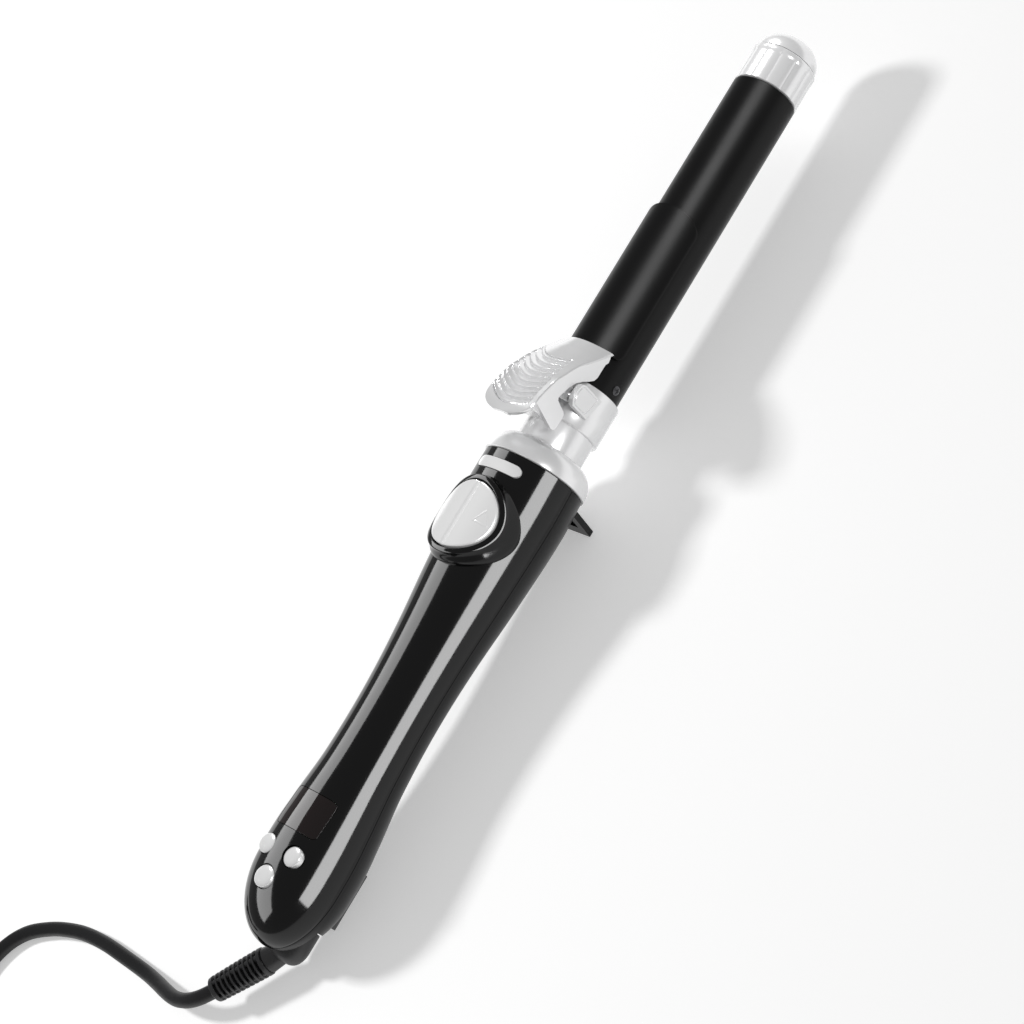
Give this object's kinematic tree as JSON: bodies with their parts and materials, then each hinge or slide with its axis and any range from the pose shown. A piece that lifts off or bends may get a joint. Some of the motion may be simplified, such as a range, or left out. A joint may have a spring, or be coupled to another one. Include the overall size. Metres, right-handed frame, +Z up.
{
  "type": "automatic hair curler",
  "caption": "Automatic hair curler with a motor-turned heated barrel, a spring clamp, a controls handle with a fold-out stand, and a swivel cord.",
  "frame": {"origin": "centre of the underside of the curler as it rests on a table", "axes": "+X along the barrel towards its tip, +Z up, with the controls on top, and +Y across"},
  "size_m": [0.5478, 0.2323, 0.0607],
  "materials": {
    "gloss_black_shell": "gloss",
    "satin_black_shell": "satin",
    "coated_black_metal": "satin",
    "soft_black": "matte",
    "silver_plating": "satin",
    "steel": "satin",
    "brass": "satin",
    "aluminium": "satin",
    "nylon": "matte",
    "ceramic": "matte",
    "circuit_board": "satin",
    "tinted_window": "gloss"
  },
  "bodies": {
    "handle": {"front_shell": "gloss_black_shell", "rear_shell": "satin_black_shell", "shell_screw_1": "steel", "shell_screw_2": "steel", "end_collar": "silver_plating", "front_bushing": "brass", "trim_bar": "silver_plating", "rocker_bezel": "gloss_black_shell", "display_window": "tinted_window", "display_module": "satin_black_shell", "control_board": "circuit_board", "power_switch": "steel", "plus_switch": "steel", "minus_switch": "steel", "rocker_cradle": "satin_black_shell", "rocker_pin": "steel", "rocker_switch_left": "satin_black_shell", "rocker_switch_right": "satin_black_shell", "gearbox_ring": "nylon", "gearbox_cover": "nylon", "motor_can": "steel", "brush_block": "nylon", "stand_pin": "steel", "swivel_socket": "steel", "rear_foot": "soft_black", "cord_tube": "soft_black", "cord_coil": "soft_black", "cord_tail": "soft_black", "plug_body": "soft_black", "plug_pin_left": "brass", "plug_pin_right": "brass"},
    "barrel": {"barrel_base": "silver_plating", "barrel_tube": "coated_black_metal", "barrel_screw": "steel", "hinge_pin": "steel", "tip_sleeve": "silver_plating", "tip_cap": "silver_plating", "heater_plate": "ceramic", "heat_spreader_front": "aluminium", "heat_spreader_rear": "aluminium", "planet_carrier": "steel", "slip_ring_drum": "nylon", "slip_ring_1": "brass", "slip_ring_2": "brass", "clamp_spring": "steel"},
    "clamp": {"clamp_plate": "coated_black_metal", "clamp_lever": "silver_plating", "clamp_rivet_1": "steel", "clamp_rivet_2": "steel"},
    "motor_rotor": {"sun_gear": "brass"},
    "planet_1": {"planet_gear_1": "nylon"},
    "planet_2": {"planet_gear_2": "nylon"},
    "planet_3": {"planet_gear_3": "nylon"},
    "rocker": {"rocker_button": "silver_plating"},
    "power": {"power_button": "silver_plating"},
    "plus": {"plus_button": "silver_plating"},
    "minus": {"minus_button": "silver_plating"},
    "stand": {"stand": "satin_black_shell"},
    "cord_swivel": {"swivel_elbow": "soft_black", "strain_relief": "soft_black"}
  },
  "joints": [
    {"name": "barrel_spin", "type": "hinge", "parent": "handle", "child": "barrel", "pos_m": [-0.00225, 0, 0.0285], "axis": [1, 0, 0], "continuous": true},
    {"name": "clamp_pivot", "type": "hinge", "parent": "barrel", "child": "clamp", "pos_m": [0.02515, 0, 0.0449], "axis": [0, -1, 0], "range_deg": [0, 22], "stiffness_Nm_per_rad": 0.35, "springref_deg": -11.46},
    {"name": "rotor_spin", "type": "hinge", "parent": "handle", "child": "motor_rotor", "pos_m": [-0.00225, 0, 0.0285], "axis": [1, 0, 0], "continuous": true},
    {"name": "rocker_tilt", "type": "hinge", "parent": "handle", "child": "rocker", "pos_m": [-0.02945, 0, 0.0437], "axis": [1, 0, 0], "range_deg": [-4, 4], "stiffness_Nm_per_rad": 0.3},
    {"name": "stand_fold", "type": "hinge", "parent": "handle", "child": "stand", "pos_m": [-0.00585, 0, 0.0165], "axis": [0, 1, 0], "range_deg": [0, 85]},
    {"name": "cord_turn", "type": "hinge", "parent": "handle", "child": "cord_swivel", "pos_m": [-0.18375, 0, 0.0107], "axis": [1, 0, 0], "continuous": true},
    {"name": "planet_1_spin", "type": "hinge", "parent": "barrel", "child": "planet_1", "pos_m": [-0.02975, 0, 0.0345], "axis": [1, 0, 0], "continuous": true},
    {"name": "planet_2_spin", "type": "hinge", "parent": "barrel", "child": "planet_2", "pos_m": [-0.02975, 0.0052, 0.0255], "axis": [1, 0, 0], "continuous": true},
    {"name": "planet_3_spin", "type": "hinge", "parent": "barrel", "child": "planet_3", "pos_m": [-0.02975, -0.0052, 0.0255], "axis": [1, 0, 0], "continuous": true},
    {"name": "power_press", "type": "slide", "parent": "handle", "child": "power", "axis": [0, 0, -1], "range_m": [0, 0.0008], "stiffness_N_per_m": 300},
    {"name": "plus_press", "type": "slide", "parent": "handle", "child": "plus", "axis": [0, 0, -1], "range_m": [0, 0.0008], "stiffness_N_per_m": 300},
    {"name": "minus_press", "type": "slide", "parent": "handle", "child": "minus", "axis": [0, 0, -1], "range_m": [0, 0.0008], "stiffness_N_per_m": 300}
  ],
  "couplings": [
    {"joint": "rotor_spin", "follows": "barrel_spin", "ratio": 4},
    {"joint": "planet_1_spin", "follows": "barrel_spin", "ratio": -3},
    {"joint": "planet_2_spin", "follows": "barrel_spin", "ratio": -3},
    {"joint": "planet_3_spin", "follows": "barrel_spin", "ratio": -3}
  ]
}
